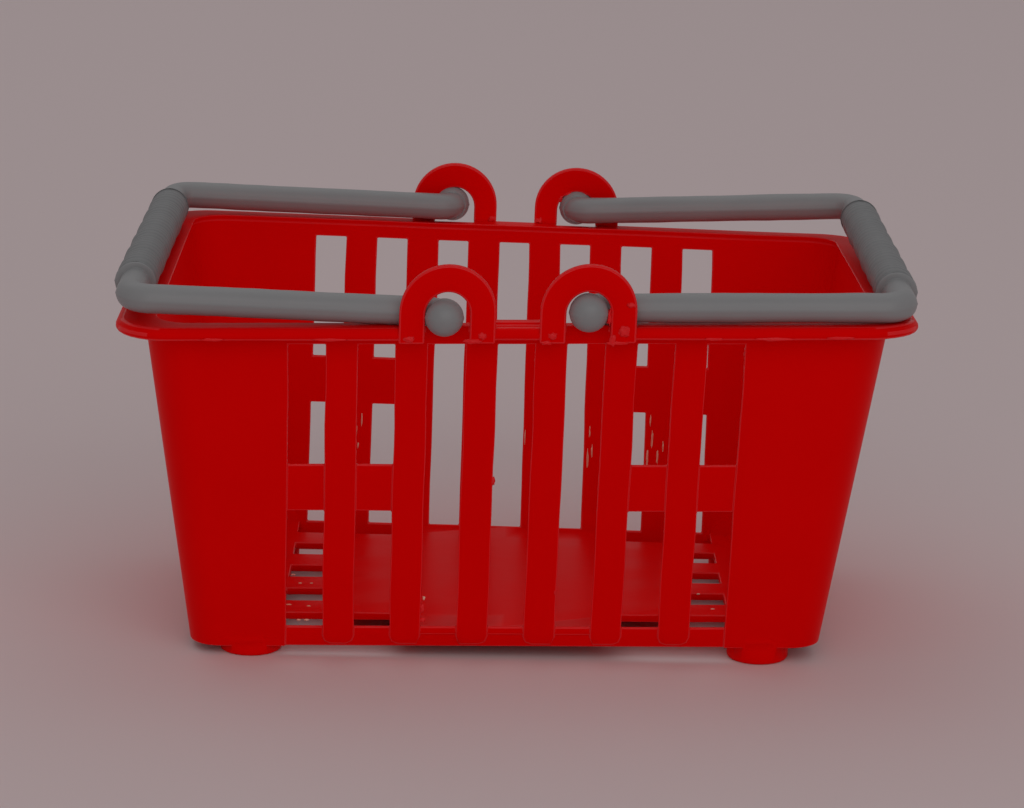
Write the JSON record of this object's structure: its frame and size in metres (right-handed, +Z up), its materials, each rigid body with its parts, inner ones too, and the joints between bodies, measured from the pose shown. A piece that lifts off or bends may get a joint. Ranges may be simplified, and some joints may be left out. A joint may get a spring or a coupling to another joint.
{
  "type": "miniature shopping basket",
  "caption": "Miniature moulded shopping basket with slotted long walls, plain end walls, a flared rim, round feet and two folding U-shaped handles pinned in upright ears.",
  "frame": {"origin": "centre of the basket's footprint, on the surface that the feet stand on", "axes": "+X along the long side, +Y from front to back, +Z up"},
  "size_m": [0.121, 0.0884, 0.0654],
  "materials": {
    "basket_plastic": "glossy moulded red polypropylene",
    "handle_plastic": "satin moulded grey polypropylene"
  },
  "bodies": {
    "basket": {"basket_floor": "basket_plastic", "front_wall": "basket_plastic", "back_wall": "basket_plastic", "left_end_wall": "basket_plastic", "right_end_wall": "basket_plastic", "front_rim": "basket_plastic", "back_rim": "basket_plastic", "left_rim": "basket_plastic", "right_rim": "basket_plastic", "front_left_ear": "basket_plastic", "front_right_ear": "basket_plastic", "back_left_ear": "basket_plastic", "back_right_ear": "basket_plastic", "front_left_foot": "basket_plastic", "front_right_foot": "basket_plastic", "back_left_foot": "basket_plastic", "back_right_foot": "basket_plastic"},
    "left_handle": {"left_handle_front_arm": "handle_plastic", "left_handle_back_arm": "handle_plastic", "left_handle_grip": "handle_plastic"},
    "right_handle": {"right_handle_front_arm": "handle_plastic", "right_handle_back_arm": "handle_plastic", "right_handle_grip": "handle_plastic"}
  },
  "joints": [
    {"name": "left_handle_hinge", "type": "hinge", "parent": "basket", "child": "left_handle", "pos_m": [-0.0104, 0, 0.0581], "axis": [0, 1, 0], "range_deg": [0, 96]},
    {"name": "right_handle_hinge", "type": "hinge", "parent": "basket", "child": "right_handle", "pos_m": [0.0104, 0, 0.0581], "axis": [0, -1, 0], "range_deg": [0, 96]}
  ]
}
